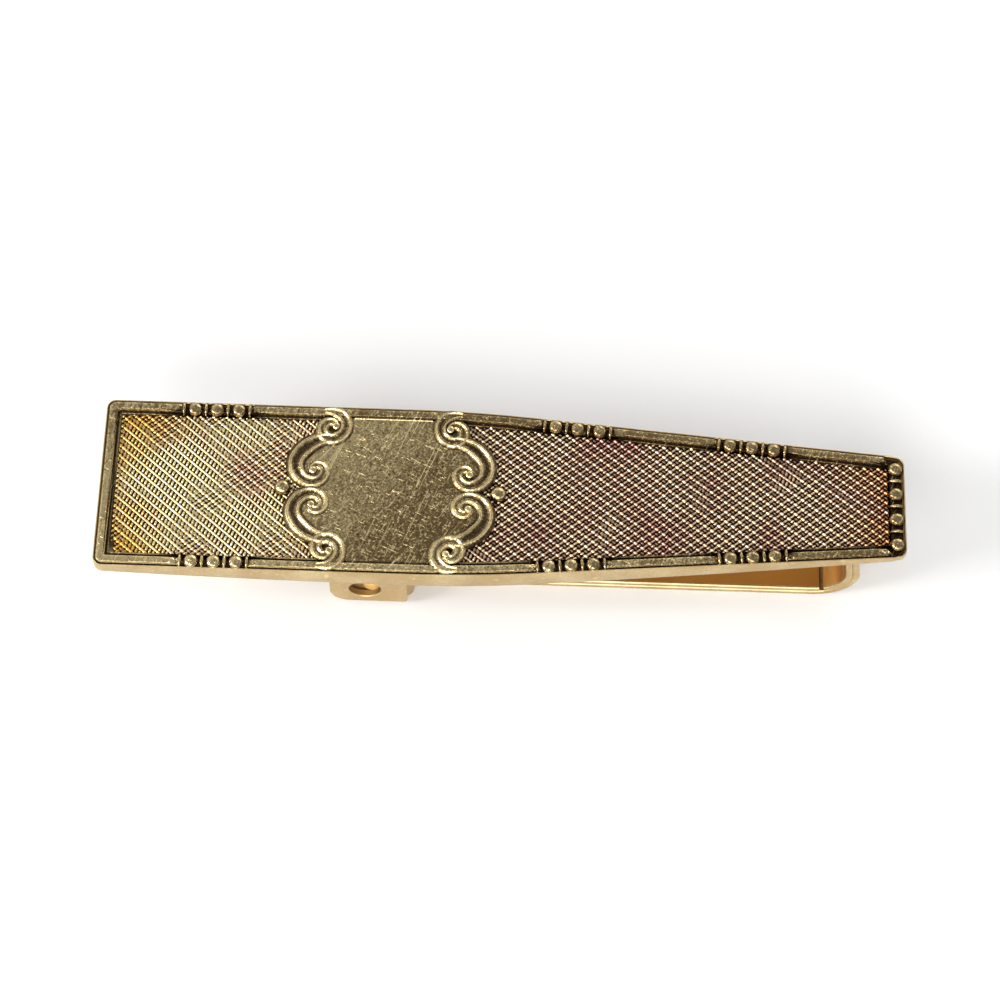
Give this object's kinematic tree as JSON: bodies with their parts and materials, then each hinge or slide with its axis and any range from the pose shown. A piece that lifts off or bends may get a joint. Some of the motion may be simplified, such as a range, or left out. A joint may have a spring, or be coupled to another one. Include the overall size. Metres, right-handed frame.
{
  "type": "tie clip",
  "caption": "Sprung tie clip: an ornamented, tapering plate with a hinged lever that pinches cloth against its crowned back.",
  "frame": {"origin": "middle of the clip's bounding box at the flat outside of the lever, which is the lowest face when the clip lies with its ornament up", "axes": "+X from the wide thumb end to the pinching nose, +Z out of the ornamented face, +Y across"},
  "size_m": [0.052, 0.012, 0.0078],
  "materials": {
    "antique_gilt": "struck relief, antiqued with dark patina in the recesses",
    "gilt_brass": "satin gilt",
    "bracket_brass": "satin gilt",
    "lever_brass": "satin gilt, amber inside",
    "pin_brass": "polished",
    "spring_steel": "bright drawn wire"
  },
  "bodies": {
    "plate": {"face_plate": "antique_gilt", "base_plate": "gilt_brass", "hinge_bracket": "bracket_brass", "torsion_spring": "spring_steel"},
    "lever": {"lever_arm": "lever_brass", "hinge_pin": "pin_brass"}
  },
  "joints": [
    {"name": "lever_pivot", "type": "hinge", "parent": "lever", "child": "plate", "pos_m": [-0.00835, 0, 0.00221], "axis": [0, -1, 0], "range_deg": [0, 21], "stiffness_Nm_per_rad": 0.12, "springref_deg": -34.38, "deforming": ["torsion_spring"]}
  ]
}
